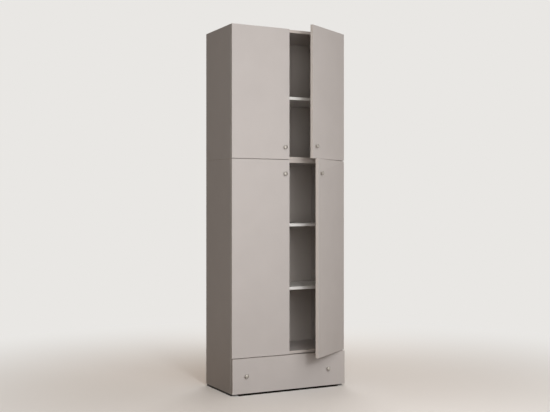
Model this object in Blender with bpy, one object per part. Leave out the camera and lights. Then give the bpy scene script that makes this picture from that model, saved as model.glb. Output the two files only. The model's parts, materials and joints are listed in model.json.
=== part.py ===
"""Tall filing cabinet: two stacked chipboard boxes, four doors and a base drawer.

Metres, +Z up, the front faces -Y. The origin is on the floor, on the cabinet's centre
plane, midway between the foremost and the rearmost point with the right doors ajar.
"""
import math

import bmesh
import bpy
from mathutils import Matrix, Vector

# Clearances
FIT = 0.0003
RAIL_PLAY = 0.0005
SWING_CLEARANCE = 0.0002

# Carcass boards
WIDTH = 0.700
SIDE_DEPTH = 0.3342
BOARD = 0.016
LOWER_HEIGHT = 1.2645
UPPER_HEIGHT = 0.7207
DRAWER_BAY_CLEAR = 0.1735
UPPER_SHELF_CLEAR = 0.320
LOWER_SHELVES = ("lower_shelf", "middle_shelf")
SHELF_SETBACK = 0.020
SHELF_BACK_CLEARANCE = 0.003
SHELF_END_CLEARANCE = 0.0008
SHELF_PIN_RADIUS = 0.0025
SHELF_PIN_REACH = 0.008
SHELF_PIN_FROM_EDGE = 0.037
BACK_THICKNESS = 0.003
BACK_MARGIN = 0.002
SKID_HEIGHT = 0.0097
SKID_WIDTH = 0.012
SKID_SETBACK = 0.008

# Doors and drawer front
FRONT_BOARD = 0.016
FRONT_STANDOFF = 0.0025
FRONT_GAP = 0.003
EDGE_ROUND = 0.001
DRAWER_FRONT_HEIGHT = 0.1885
UPPER_DOOR_AJAR = math.radians(30.0)
LOWER_DOOR_AJAR = math.radians(35.3)
DRAWER_AJAR = 0.007

# Concealed hinges
CUP_RADIUS = 0.0173
CUP_WALL = 0.001
CUP_SKIN = 0.003
CUP_FLANGE = 0.0008
CUP_FLANGE_LIP = 0.0007
CUP_EAR_REACH = 0.026
CUP_EAR_WIDTH = 0.013
PIN_RADIUS = 0.00125
PIN_CHEEK = 0.0035
EYE_WALL = 0.00085
ARM_WIDTH = 0.008
ARM_GAUGE = 0.0024
PLATE_THICKNESS = 0.0021
PLATE_FROM_EDGE = 0.037
PLATE_LENGTH = 0.036
PLATE_HEIGHT = 0.048
HINGE_FROM_DOOR_END = 0.100
UPPER_HINGE_COUNT = 2
LOWER_HINGE_COUNT = 3

# Knobs
KNOB_RADIUS = 0.011
KNOB_REACH = 0.0195
KNOB_DOME_RADIUS = 0.020
KNOB_RIM_RADIUS = 0.002
KNOB_COVE_RADIUS = 0.0035
KNOB_NECK_RADIUS = 0.0045
KNOB_FOOT_RADIUS = 0.007
KNOB_FOOT = 0.0015
KNOB_SCREW_RADIUS = 0.002
KNOB_SCREW_HEAD_RADIUS = 0.004
KNOB_SCREW_HEAD = 0.0018
KNOB_FROM_FREE_EDGE = 0.030
UPPER_KNOB_ABOVE_DOOR_BASE = 0.066
LOWER_KNOB_BELOW_DOOR_TOP = 0.077
DRAWER_KNOB_HEIGHT = 0.096
DRAWER_LEFT_KNOB_INSET = 0.0795
DRAWER_RIGHT_KNOB_INSET = 0.113

# Drawer box and its roller runners
DRAWER_BOARD = 0.012
DRAWER_SIDE_HEIGHT = 0.110
DRAWER_LENGTH = 0.300
DRAWER_LIFT = 0.014
DRAWER_BOTTOM = 0.003
GROOVE_LIFT = 0.008
GROOVE_DEPTH = 0.005
RUNNER_SPACE = 0.0125
RUNNER_LENGTH = 0.300
RUNNER_SETBACK = 0.003
RAIL_GAUGE = 0.0012
RAIL_LIP = 0.009
ROLLER_RADIUS = 0.0095
ROLLER_WIDTH = 0.007
ROLLER_FROM_RAIL_END = 0.003
AXLE_RADIUS = 0.0025
AXLE_CLEARANCE = 0.00025
AXLE_HEAD_RADIUS = 0.0036
AXLE_HEAD = 0.0007

# Facets of round shapes
FINE_SIDES = 24
ROUND_SIDES = 16
PIN_SIDES = 10
EDGE_STEPS = 2
KNOB_ARC_STEPS = 4
ROUND_PROFILE = 0.5
SMOOTH_ANGLE = math.radians(35.0)
MERGE_DISTANCE = 0.000001

# Levels and planes that follow from the sizes above
INNER_HALF = WIDTH / 2 - BOARD
LOWER_BASE = SKID_HEIGHT + FIT
LOWER_TOP = LOWER_BASE + LOWER_HEIGHT
UPPER_BASE = LOWER_TOP + FIT
UPPER_TOP = UPPER_BASE + UPPER_HEIGHT
BOX_SEAM = (LOWER_TOP + UPPER_BASE) / 2
DIVIDER_BASE = LOWER_BASE + BOARD + DRAWER_BAY_CLEAR
DRAWER_FRONT_TOP = LOWER_BASE + DRAWER_FRONT_HEIGHT

# The hinge pin lies as deep in the door as its eye, cup and the skin before it allow,
# and as far from the door's edge as the edge's swing past the carcass allows.
EYE_RADIUS = PIN_RADIUS + FIT + EYE_WALL
PIN_TO_FRONT = CUP_SKIN + FIT + CUP_WALL + FIT + EYE_RADIUS
PIN_TO_BACK = FRONT_BOARD - PIN_TO_FRONT
PIN_TO_CARCASS = PIN_TO_BACK + FRONT_STANDOFF
EDGE_SWING = PIN_TO_CARCASS - EDGE_ROUND - SWING_CLEARANCE
PIN_TO_EDGE = EDGE_ROUND + math.sqrt(EDGE_SWING**2 - (PIN_TO_BACK - EDGE_ROUND) ** 2)
CUP_INNER_RADIUS = CUP_RADIUS - CUP_WALL
CUP_FACET_RADIUS = CUP_INNER_RADIUS * math.cos(math.pi / FINE_SIDES)
CUP_CENTRE = math.sqrt(CUP_FACET_RADIUS**2 - (ARM_WIDTH / 2) ** 2) - EYE_RADIUS - FIT
CUP_FLOOR = -EYE_RADIUS - FIT
PIN_TO_SIDE = BOARD - PIN_TO_EDGE
DOOR_WIDTH = (WIDTH - FRONT_GAP) / 2
PIN_X = WIDTH / 2 - PIN_TO_EDGE
PIN_Y = -PIN_TO_CARCASS

# Runner heights and the planes across the runner space, from the carcass side inwards
DRAWER_BASE = LOWER_BASE + BOARD + DRAWER_LIFT
DRAWER_HALF = INNER_HALF - RUNNER_SPACE
CHANNEL_CLEAR = 2 * (ROLLER_RADIUS + FIT)
CHANNEL_TOP = DRAWER_BASE + CHANNEL_CLEAR + 2 * RAIL_GAUGE
REAR_AXLE_Z = DRAWER_BASE + RAIL_GAUGE + CHANNEL_CLEAR / 2
FRONT_AXLE_Z = CHANNEL_TOP + RAIL_PLAY - ROLLER_RADIUS
FRONT_AXLE_Y = RUNNER_SETBACK + ROLLER_FROM_RAIL_END + ROLLER_RADIUS
CHANNEL_START = FRONT_AXLE_Y + ROLLER_RADIUS + ROLLER_FROM_RAIL_END
DRAWER_BOX_FRONT = -FRONT_STANDOFF + FIT
DRAWER_BOX_BACK = DRAWER_BOX_FRONT + DRAWER_LENGTH
REAR_AXLE_Y = DRAWER_BOX_BACK - ROLLER_FROM_RAIL_END - ROLLER_RADIUS
CARCASS_WEB_X = INNER_HALF - FIT - RAIL_GAUGE
DRAWER_WEB_X = DRAWER_HALF + FIT + RAIL_GAUGE
BOTTOM_BASE = DRAWER_BASE + GROOVE_LIFT
BOTTOM_TOP = BOTTOM_BASE + DRAWER_BOTTOM

for leftover in list(bpy.data.objects):
    bpy.data.objects.remove(leftover)


# Shapes

def finished_mesh(shape, name):
    """Turn a bmesh into a mesh of joined corners whose faces point outwards."""
    bmesh.ops.remove_doubles(shape, verts=shape.verts, dist=MERGE_DISTANCE)
    bmesh.ops.recalc_face_normals(shape, faces=shape.faces)
    mesh = bpy.data.meshes.new(name)
    shape.to_mesh(mesh)
    shape.free()
    return mesh


def block(corner, opposite, edge_round=0.0):
    """Box between two opposite corners, with rounded edges if asked."""
    low = Vector(map(min, corner, opposite))
    high = Vector(map(max, corner, opposite))
    shape = bmesh.new()
    bmesh.ops.create_cube(shape, size=1.0)
    for vertex in shape.verts:
        vertex.co = [high[axis] if vertex.co[axis] > 0 else low[axis] for axis in range(3)]
    if edge_round:
        bmesh.ops.bevel(
            shape,
            geom=shape.edges[:],
            offset=edge_round,
            segments=EDGE_STEPS,
            profile=ROUND_PROFILE,
            affect="EDGES",
        )
    return finished_mesh(shape, "block")


def rod(start, end, radius, sides):
    """Round bar between two points."""
    start = Vector(start)
    end = Vector(end)
    along = end - start
    place = Matrix.Translation((start + end) / 2) @ along.to_track_quat("Z", "Y").to_matrix().to_4x4()
    shape = bmesh.new()
    bmesh.ops.create_cone(
        shape,
        cap_ends=True,
        segments=sides,
        radius1=radius,
        radius2=radius,
        depth=along.length,
        matrix=place,
    )
    return finished_mesh(shape, "rod")


def turned(profile, sides):
    """Solid turned about Y from points of radius and Y that start and end on the axis."""
    shape = bmesh.new()
    points = [shape.verts.new((radius, y, 0.0)) for radius, y in profile]
    lines = [shape.edges.new(pair) for pair in zip(points, points[1:])]
    bmesh.ops.spin(
        shape, geom=points + lines, axis=(0.0, 1.0, 0.0), angle=2 * math.pi, steps=sides, use_merge=True
    )
    return finished_mesh(shape, "turned")


def prism(outline, along):
    """Solid drawn from a flat outline of points along a vector."""
    shape = bmesh.new()
    near = [shape.verts.new(point) for point in outline]
    far = [shape.verts.new(Vector(point) + Vector(along)) for point in outline]
    shape.faces.new(near)
    shape.faces.new(far)
    for corner in range(len(outline)):
        shape.faces.new((near[corner - 1], near[corner], far[corner], far[corner - 1]))
    return finished_mesh(shape, "prism")


def combined(body, united=(), cut=()):
    """Mesh of a body with other meshes united to it and more of them cut away."""
    tools = [bpy.data.objects.new("body", body)]
    for operation, meshes in (("UNION", united), ("DIFFERENCE", cut)):
        for mesh in meshes:
            tool = bpy.data.objects.new("tool", mesh)
            change = tools[0].modifiers.new(operation, "BOOLEAN")
            change.operation = operation
            change.solver = "EXACT"
            change.object = tool
            tools.append(tool)
    for tool in tools:
        bpy.context.scene.collection.objects.link(tool)
    graph = bpy.context.evaluated_depsgraph_get()
    shape = bmesh.new()
    shape.from_object(tools[0], graph)
    for tool in tools:
        bpy.data.objects.remove(tool)
    return finished_mesh(shape, "combined")


def frame_at(name, location, parent=None, turn=0.0):
    """Empty that carries a group of pieces, turned about Z."""
    frame = bpy.data.objects.new(name, None)
    bpy.context.scene.collection.objects.link(frame)
    frame.parent = parent
    frame.location = location
    frame.rotation_euler.z = turn
    return frame


def piece(name, mesh, material, parent, location=(0.0, 0.0, 0.0), flipped=False, smooth=False):
    """One named sub-part. Flipped turns it half round about Y, for the other side of the cabinet."""
    part = bpy.data.objects.new(name, mesh)
    bpy.context.scene.collection.objects.link(part)
    part.parent = parent
    part.location = location
    part.rotation_euler.y = math.pi if flipped else 0.0
    if not mesh.materials:
        mesh.materials.append(material)
    if smooth:
        mesh.shade_smooth()
        mesh.set_sharp_from_angle(angle=SMOOTH_ANGLE)
    return part


def board(name, corner, opposite, material, parent, edge_round=0.0):
    """Plain board between two corners of its parent's frame, with its origin in its middle."""
    middle = (Vector(corner) + Vector(opposite)) / 2
    mesh = block(Vector(corner) - middle, Vector(opposite) - middle, edge_round)
    return piece(name, mesh, material, parent, middle)


# Materials

def linear(level):
    """One sRGB channel from 0 to 255 as linear light."""
    share = level / 255
    return share / 12.92 if share <= 0.04045 else ((share + 0.055) / 1.055) ** 2.4


def finish(name, red, green, blue, roughness, metallic=0.0):
    """Principled material of one sRGB colour."""
    material = bpy.data.materials.new(name)
    material.use_nodes = True
    shader = material.node_tree.nodes["Principled BSDF"]
    shader.inputs["Base Color"].default_value = (linear(red), linear(green), linear(blue), 1.0)
    shader.inputs["Roughness"].default_value = roughness
    shader.inputs["Metallic"].default_value = metallic
    return material


GREIGE_MELAMINE = finish("greige_melamine", 196, 188, 182, 0.45)
WHITE_MELAMINE = finish("white_melamine", 240, 239, 236, 0.45)
HARDBOARD = finish("hardboard", 142, 110, 78, 0.8)
BLACK_PLASTIC = finish("black_plastic", 30, 29, 28, 0.55)
WHITE_PLASTIC = finish("white_plastic", 228, 227, 222, 0.4)
COATED_STEEL = finish("coated_steel", 225, 224, 220, 0.35)
NICKEL_STEEL = finish("nickel_steel", 186, 184, 180, 0.3, 1.0)
SATIN_METAL = finish("satin_metal", 196, 194, 190, 0.25, 1.0)


# Carcass: two boxes of boards, the lower one carrying the upper

def shelf_bases():
    """Height of each adjustable shelf's underside, by name."""
    lowest = DIVIDER_BASE + BOARD
    bays = len(LOWER_SHELVES) + 1
    bay = (LOWER_TOP - BOARD - lowest - len(LOWER_SHELVES) * BOARD) / bays
    heights = {}
    for count, name in enumerate(LOWER_SHELVES):
        heights[name] = lowest + bay + count * (bay + BOARD)
    heights["upper_shelf"] = UPPER_BASE + BOARD + UPPER_SHELF_CLEAR
    return heights


def add_side(name, hand, base, top, parent):
    """Side board with the support pins of the shelves between its base and its top."""
    outer = hand * WIDTH / 2
    inner = hand * INNER_HALF
    mid_depth = SIDE_DEPTH / 2
    body = block((outer, 0.0, base), (inner, SIDE_DEPTH, top))
    pins = []
    for height in shelf_bases().values():
        if not base < height < top:
            continue
        pin_z = height - FIT - SHELF_PIN_RADIUS
        for pin_y in (SHELF_PIN_FROM_EDGE, SIDE_DEPTH - SHELF_PIN_FROM_EDGE):
            root = inner + hand * BOARD / 2
            tip = inner - hand * SHELF_PIN_REACH
            pins.append(rod((root, pin_y, pin_z), (tip, pin_y, pin_z), SHELF_PIN_RADIUS, PIN_SIDES))
    mesh = combined(body, united=pins)
    middle = Vector(((outer + inner) / 2, mid_depth, (base + top) / 2))
    mesh.transform(Matrix.Translation(-middle))
    piece(name, mesh, GREIGE_MELAMINE, parent, middle)


def add_cross_board(name, base, parent):
    """Full-depth board fixed between the two sides."""
    half = INNER_HALF - FIT
    board(name, (-half, 0.0, base), (half, SIDE_DEPTH, base + BOARD), GREIGE_MELAMINE, parent)


def add_back(name, base, top, parent):
    """Thin back nailed to the rear edges of one box."""
    half = WIDTH / 2 - BACK_MARGIN
    front = SIDE_DEPTH + FIT
    low = (-half, front, base + BACK_MARGIN)
    high = (half, front + BACK_THICKNESS, top - BACK_MARGIN)
    board(name, low, high, HARDBOARD, parent)


def add_carcass(parent):
    for side, hand in (("left", -1), ("right", 1)):
        add_side(f"lower_{side}_side", hand, LOWER_BASE, LOWER_TOP, parent)
        add_side(f"upper_{side}_side", hand, UPPER_BASE, UPPER_TOP, parent)
        skid_x = hand * (WIDTH - BOARD) / 2
        low = (skid_x - SKID_WIDTH / 2, SKID_SETBACK, 0.0)
        high = (skid_x + SKID_WIDTH / 2, SIDE_DEPTH - SKID_SETBACK, SKID_HEIGHT)
        board(f"{side}_skid", low, high, BLACK_PLASTIC, parent)
    add_cross_board("bottom_board", LOWER_BASE, parent)
    add_cross_board("drawer_divider", DIVIDER_BASE, parent)
    add_cross_board("lower_top_board", LOWER_TOP - BOARD, parent)
    add_cross_board("upper_floor_board", UPPER_BASE, parent)
    add_cross_board("top_board", UPPER_TOP - BOARD, parent)
    add_back("lower_back", LOWER_BASE, LOWER_TOP, parent)
    add_back("upper_back", UPPER_BASE, UPPER_TOP, parent)
    half = INNER_HALF - SHELF_END_CLEARANCE
    for name, height in shelf_bases().items():
        low = (-half, SHELF_SETBACK, height)
        high = (half, SIDE_DEPTH - SHELF_BACK_CLEARANCE, height + BOARD)
        board(name, low, high, WHITE_MELAMINE, parent)


# Concealed hinges, drawn about their pin: X runs into the door, Y towards the cabinet's back

def hinge_cup():
    """Pressed cup with its rim, two screw ears, and the pin held between two cheeks."""
    rim = PIN_TO_BACK + FIT
    face = rim + CUP_FLANGE
    flange_radius = CUP_RADIUS + CUP_FLANGE_LIP
    shell = turned(
        (
            (0.0, CUP_FLOOR - CUP_WALL),
            (CUP_RADIUS, CUP_FLOOR - CUP_WALL),
            (CUP_RADIUS, rim),
            (flange_radius, rim),
            (flange_radius, face),
            (CUP_INNER_RADIUS, face),
            (CUP_INNER_RADIUS, CUP_FLOOR),
            (0.0, CUP_FLOOR),
        ),
        FINE_SIDES,
    )
    shell.transform(Matrix.Translation((CUP_CENTRE, 0.0, 0.0)))
    near = ARM_WIDTH / 2 + FIT
    far = near + PIN_CHEEK
    united = []
    for up in (-1, 1):
        ear_root = (CUP_CENTRE - CUP_EAR_WIDTH / 2, rim, up * (CUP_RADIUS - CUP_WALL / 2))
        ear_tip = (CUP_CENTRE + CUP_EAR_WIDTH / 2, face, up * CUP_EAR_REACH)
        united.append(block(ear_root, ear_tip))
        cheek_foot = (-EYE_RADIUS, CUP_FLOOR - CUP_WALL / 2, up * near)
        cheek_head = (EYE_RADIUS, EYE_RADIUS, up * far)
        united.append(block(cheek_foot, cheek_head))
    pin_end = near + PIN_CHEEK / 2
    united.append(rod((0.0, 0.0, -pin_end), (0.0, 0.0, pin_end), PIN_RADIUS, PIN_SIDES))
    return combined(shell, united=united)


def hinge_arm():
    """Cranked arm from the pin round the side board's front edge, on its mounting plate."""
    near = PIN_TO_SIDE + FIT + PLATE_THICKNESS
    far = near + ARM_GAUGE
    plate_mid = PIN_TO_CARCASS + PLATE_FROM_EDGE
    plate_front = plate_mid - PLATE_LENGTH / 2
    plate_back = plate_mid + PLATE_LENGTH / 2
    half = ARM_WIDTH / 2
    crank = prism(
        (
            (0.0, -ARM_GAUGE / 2, -half),
            (far, -ARM_GAUGE / 2, -half),
            (far, plate_back, -half),
            (near, plate_back, -half),
            (near, ARM_GAUGE / 2, -half),
            (0.0, ARM_GAUGE / 2, -half),
        ),
        (0.0, 0.0, ARM_WIDTH),
    )
    eye = rod((0.0, 0.0, -half), (0.0, 0.0, half), EYE_RADIUS, ROUND_SIDES)
    foot = (PIN_TO_SIDE + FIT, plate_front, -PLATE_HEIGHT / 2)
    plate = block(foot, (near + ARM_GAUGE / 2, plate_back - FIT, PLATE_HEIGHT / 2))
    bore_radius = (PIN_RADIUS + FIT) / math.cos(math.pi / ROUND_SIDES)
    bore = rod((0.0, 0.0, -ARM_WIDTH), (0.0, 0.0, ARM_WIDTH), bore_radius, ROUND_SIDES)
    return combined(crank, united=(eye, plate), cut=(bore,))


def hinge_heights(door_height, count):
    """Heights of a door's hinges above its lower edge, evenly spread between its two end hinges."""
    span = door_height - 2 * HINGE_FROM_DOOR_END
    return [HINGE_FROM_DOOR_END + span * step / (count - 1) for step in range(count)]


# Knobs, turned about Y with the face they sit on at zero

def arc(centre, radius, start, end):
    """Points of radius and Y on an arc after its start, by angles counted from straight forward."""
    turn = (end - start) / KNOB_ARC_STEPS
    points = []
    for step in range(1, KNOB_ARC_STEPS + 1):
        angle = start + turn * step
        points.append((centre[0] + radius * math.sin(angle), centre[1] - radius * math.cos(angle)))
    return points


def knob(front_board):
    """Turned knob with the screw that holds it from behind the board.

    A shallow dome runs into a round rim, and a cove runs from the rim to the neck.
    """
    dome_y = KNOB_DOME_RADIUS - KNOB_REACH
    rim_x = KNOB_RADIUS - KNOB_RIM_RADIUS
    dome_end = math.asin(rim_x / (KNOB_DOME_RADIUS - KNOB_RIM_RADIUS))
    rim_y = dome_y - (KNOB_DOME_RADIUS - KNOB_RIM_RADIUS) * math.cos(dome_end)
    cove_x = KNOB_NECK_RADIUS + KNOB_COVE_RADIUS
    rim_end = math.pi + math.asin((rim_x - cove_x) / (KNOB_RIM_RADIUS + KNOB_COVE_RADIUS))
    cove_y = rim_y - (KNOB_RIM_RADIUS + KNOB_COVE_RADIUS) * math.cos(rim_end)
    back = front_board + FIT
    return turned(
        (
            (0.0, -KNOB_REACH),
            *arc((0.0, dome_y), KNOB_DOME_RADIUS, 0.0, dome_end),
            *arc((rim_x, rim_y), KNOB_RIM_RADIUS, dome_end, rim_end),
            *arc((cove_x, cove_y), KNOB_COVE_RADIUS, rim_end - math.pi, -math.pi / 2),
            (KNOB_NECK_RADIUS, -KNOB_FOOT - FIT),
            (KNOB_FOOT_RADIUS, -KNOB_FOOT - FIT),
            (KNOB_FOOT_RADIUS, -FIT),
            (KNOB_SCREW_RADIUS, -FIT),
            (KNOB_SCREW_RADIUS, back),
            (KNOB_SCREW_HEAD_RADIUS, back),
            (KNOB_SCREW_HEAD_RADIUS, back + KNOB_SCREW_HEAD / 2),
            (0.0, back + KNOB_SCREW_HEAD),
        ),
        ROUND_SIDES,
    )


def knob_bore(x, front, z):
    """Hole through a front board for the knob's screw."""
    radius = KNOB_SCREW_RADIUS + FIT
    before = (x, front - FRONT_BOARD, z)
    behind = (x, front + 2 * FRONT_BOARD, z)
    return rod(before, behind, radius, ROUND_SIDES)


# Doors, each drawn about its hinge line with its lower edge at zero

def add_door(name, hand, base, top, ajar, hinges, knob_height, meshes, parent):
    """Door with its bored cups, its knob, and the hinge arms that carry it on the carcass."""
    height = top - base
    into = -hand
    axis = frame_at(f"{name}_axis", (hand * PIN_X, PIN_Y, base), parent, hand * ajar)
    body = block(
        (-into * PIN_TO_EDGE, -PIN_TO_FRONT, 0.0),
        (into * (DOOR_WIDTH - PIN_TO_EDGE), PIN_TO_BACK, height),
        EDGE_ROUND,
    )
    knob_x = into * (DOOR_WIDTH - PIN_TO_EDGE - KNOB_FROM_FREE_EDGE)
    bores = [knob_bore(knob_x, -PIN_TO_FRONT, knob_height)]
    heights = hinge_heights(height, hinges)
    bore_floor = CUP_FLOOR - CUP_WALL - FIT
    for hinge_z in heights:
        floor = (into * CUP_CENTRE, bore_floor, hinge_z)
        mouth = (into * CUP_CENTRE, FRONT_BOARD, hinge_z)
        bore_radius = (CUP_RADIUS + FIT) / math.cos(math.pi / FINE_SIDES)
        bores.append(rod(floor, mouth, bore_radius, FINE_SIDES))
    piece(name, combined(body, cut=bores), GREIGE_MELAMINE, axis)
    knob_place = (knob_x, -PIN_TO_FRONT, knob_height)
    piece(f"{name}_knob", meshes["knob"], SATIN_METAL, axis, knob_place, smooth=True)
    for count, hinge_z in enumerate(heights, start=1):
        flipped = hand > 0
        cup_name = f"{name}_hinge_cup_{count}"
        piece(cup_name, meshes["cup"], NICKEL_STEEL, axis, (0.0, 0.0, hinge_z), flipped, smooth=True)
        arm_place = (hand * PIN_X, PIN_Y, base + hinge_z)
        arm_name = f"{name}_hinge_arm_{count}"
        piece(arm_name, meshes["arm"], NICKEL_STEEL, parent, arm_place, flipped, smooth=True)


def add_doors(meshes, parent):
    lower = DRAWER_FRONT_TOP + FRONT_GAP, BOX_SEAM - FRONT_GAP / 2
    upper = BOX_SEAM + FRONT_GAP / 2, UPPER_TOP
    low_knob = lower[1] - lower[0] - LOWER_KNOB_BELOW_DOOR_TOP
    high_knob = UPPER_KNOB_ABOVE_DOOR_BASE
    for side, hand in (("left", -1), ("right", 1)):
        lower_ajar = LOWER_DOOR_AJAR if hand > 0 else 0.0
        upper_ajar = UPPER_DOOR_AJAR if hand > 0 else 0.0
        add_door(f"lower_{side}_door", hand, *lower, lower_ajar, LOWER_HINGE_COUNT, low_knob, meshes, parent)
        add_door(f"upper_{side}_door", hand, *upper, upper_ajar, UPPER_HINGE_COUNT, high_knob, meshes, parent)


# Drawer and runners, drawn with the drawer shut

def roller():
    """Plastic roller about X, bored for its axle."""
    half = ROLLER_WIDTH / 2
    tyre = rod((-half, 0.0, 0.0), (half, 0.0, 0.0), ROLLER_RADIUS, FINE_SIDES)
    bore_radius = (AXLE_RADIUS + AXLE_CLEARANCE) / math.cos(math.pi / ROUND_SIDES)
    bore = rod((-ROLLER_WIDTH, 0.0, 0.0), (ROLLER_WIDTH, 0.0, 0.0), bore_radius, ROUND_SIDES)
    return combined(tyre, cut=(bore,))


def stub_axle(web_x, outwards, y, z):
    """Axle riveted in a rail's web, with the head that keeps its roller on."""
    root = web_x - outwards * RAIL_GAUGE / 2
    shoulder = web_x + outwards * (RAIL_PLAY + ROLLER_WIDTH + FIT)
    tip = shoulder + outwards * AXLE_HEAD
    shank = rod((root, y, z), (shoulder + outwards * AXLE_HEAD / 2, y, z), AXLE_RADIUS, ROUND_SIDES)
    head = rod((shoulder, y, z), (tip, y, z), AXLE_HEAD_RADIUS, ROUND_SIDES)
    return shank, head


def roller_place(web_x, outwards, y, z):
    """Middle of the roller that runs on an axle in a rail's web."""
    return (web_x + outwards * (RAIL_PLAY + ROLLER_WIDTH / 2), y, z)


def add_carcass_rail(side, hand, meshes, parent):
    """Channel on the carcass side, its flanges cut back for the roller at its front end."""
    wall = hand * (INNER_HALF - FIT)
    web = hand * CARCASS_WEB_X
    edge = hand * (DRAWER_WEB_X + RAIL_PLAY)
    outline = (
        (wall, DRAWER_BASE),
        (edge, DRAWER_BASE),
        (edge, DRAWER_BASE + RAIL_GAUGE),
        (web, DRAWER_BASE + RAIL_GAUGE),
        (web, CHANNEL_TOP - RAIL_GAUGE),
        (edge, CHANNEL_TOP - RAIL_GAUGE),
        (edge, CHANNEL_TOP),
        (wall, CHANNEL_TOP),
    )
    channel = prism([(x, RUNNER_SETBACK, z) for x, z in outline], (0.0, RUNNER_LENGTH, 0.0))
    window_low = (web - hand * FIT, 0.0, DRAWER_BASE - FIT)
    window = block(window_low, (hand * DRAWER_HALF, CHANNEL_START, CHANNEL_TOP + FIT))
    axle = stub_axle(web, -hand, FRONT_AXLE_Y, FRONT_AXLE_Z)
    mesh = combined(combined(channel, cut=(window,)), united=axle)
    piece(f"{side}_carcass_rail", mesh, COATED_STEEL, parent)
    place = roller_place(web, -hand, FRONT_AXLE_Y, FRONT_AXLE_Z)
    piece(f"{side}_front_roller", meshes["roller"], WHITE_PLASTIC, parent, place, smooth=True)


def add_drawer_rail(side, hand, meshes, parent):
    """Rail under the drawer side: a flange over the front roller, and a roller at its rear end."""
    inner = hand * (DRAWER_HALF + FIT)
    web = hand * DRAWER_WEB_X
    lip_edge = hand * (DRAWER_HALF - RAIL_LIP)
    flange_edge = hand * (CARCASS_WEB_X - RAIL_PLAY)
    lip_top = DRAWER_BASE - FIT
    flange_base = FRONT_AXLE_Z + ROLLER_RADIUS + FIT
    flange_top = flange_base + RAIL_GAUGE
    outline = (
        (lip_edge, lip_top - RAIL_GAUGE),
        (web, lip_top - RAIL_GAUGE),
        (web, flange_base),
        (flange_edge, flange_base),
        (flange_edge, flange_top),
        (inner, flange_top),
        (inner, lip_top),
        (lip_edge, lip_top),
    )
    body = prism([(x, DRAWER_BOX_FRONT, z) for x, z in outline], (0.0, DRAWER_LENGTH, 0.0))
    mesh = combined(body, united=stub_axle(web, hand, REAR_AXLE_Y, REAR_AXLE_Z))
    piece(f"{side}_drawer_rail", mesh, COATED_STEEL, parent)
    place = roller_place(web, hand, REAR_AXLE_Y, REAR_AXLE_Z)
    piece(f"{side}_rear_roller", meshes["roller"], WHITE_PLASTIC, parent, place, smooth=True)


def add_drawer_side(side, hand, groove, parent):
    """Drawer side, grooved along its inner face for the bottom."""
    outer = hand * DRAWER_HALF
    inner = hand * (DRAWER_HALF - DRAWER_BOARD)
    top = DRAWER_BASE + DRAWER_SIDE_HEIGHT
    body = block((outer, DRAWER_BOX_FRONT, DRAWER_BASE), (inner, DRAWER_BOX_BACK, top))
    piece(f"drawer_{side}_side", combined(body, cut=(groove,)), GREIGE_MELAMINE, parent)


def add_drawer(meshes, parent):
    drawer = frame_at("drawer_slide", (0.0, -DRAWER_AJAR, 0.0), parent)
    inner_half = DRAWER_HALF - DRAWER_BOARD
    groove_half = inner_half + GROOVE_DEPTH
    groove_front = -FRONT_STANDOFF - GROOVE_DEPTH
    groove = block(
        (-groove_half, groove_front, BOTTOM_BASE - FIT),
        (groove_half, DRAWER_BOX_BACK + GROOVE_DEPTH, BOTTOM_TOP + FIT),
    )
    front_face = -FRONT_STANDOFF - FRONT_BOARD
    front = block(
        (-WIDTH / 2, front_face, LOWER_BASE), (WIDTH / 2, -FRONT_STANDOFF, DRAWER_FRONT_TOP), EDGE_ROUND
    )
    knob_z = LOWER_BASE + DRAWER_KNOB_HEIGHT
    knobs = {
        "left": -WIDTH / 2 + DRAWER_LEFT_KNOB_INSET,
        "right": WIDTH / 2 - DRAWER_RIGHT_KNOB_INSET,
    }
    bores = [knob_bore(x, front_face, knob_z) for x in knobs.values()]
    piece("drawer_front", combined(front, cut=(groove, *bores)), GREIGE_MELAMINE, drawer)
    for side, hand in (("left", -1), ("right", 1)):
        add_drawer_side(side, hand, groove, drawer)
        add_drawer_rail(side, hand, meshes, drawer)
        add_carcass_rail(side, hand, meshes, parent)
        knob_place = (knobs[side], front_face, knob_z)
        piece(f"drawer_{side}_knob", meshes["knob"], SATIN_METAL, drawer, knob_place, smooth=True)
    back_low = (-inner_half + FIT, DRAWER_BOX_BACK - DRAWER_BOARD, BOTTOM_TOP + FIT)
    back_high = (inner_half - FIT, DRAWER_BOX_BACK, DRAWER_BASE + DRAWER_SIDE_HEIGHT)
    board("drawer_back", back_low, back_high, GREIGE_MELAMINE, drawer)
    bottom_half = groove_half - FIT
    bottom_low = (-bottom_half, groove_front + FIT, BOTTOM_BASE)
    board("drawer_bottom", bottom_low, (bottom_half, DRAWER_BOX_BACK, BOTTOM_TOP), HARDBOARD, drawer)


def centre_depth(root):
    """Slide the cabinet along Y until the origin is midway between its front and back reach."""
    bpy.context.view_layer.update()
    reach = []
    for part in bpy.context.scene.objects:
        if part.type == "MESH":
            reach.extend((part.matrix_world @ vertex.co).y for vertex in part.data.vertices)
    root.location.y = -(min(reach) + max(reach)) / 2


cabinet = frame_at("cabinet", (0.0, 0.0, 0.0))
shared_meshes = {"cup": hinge_cup(), "arm": hinge_arm(), "knob": knob(FRONT_BOARD), "roller": roller()}
add_carcass(cabinet)
add_doors(shared_meshes, cabinet)
add_drawer(shared_meshes, cabinet)
centre_depth(cabinet)
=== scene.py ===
"""Tall filing cabinet of two stacked chipboard boxes, dressed over its solid model."""
import json
import math

import bmesh
import bpy
from mathutils import Matrix, Vector


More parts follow.
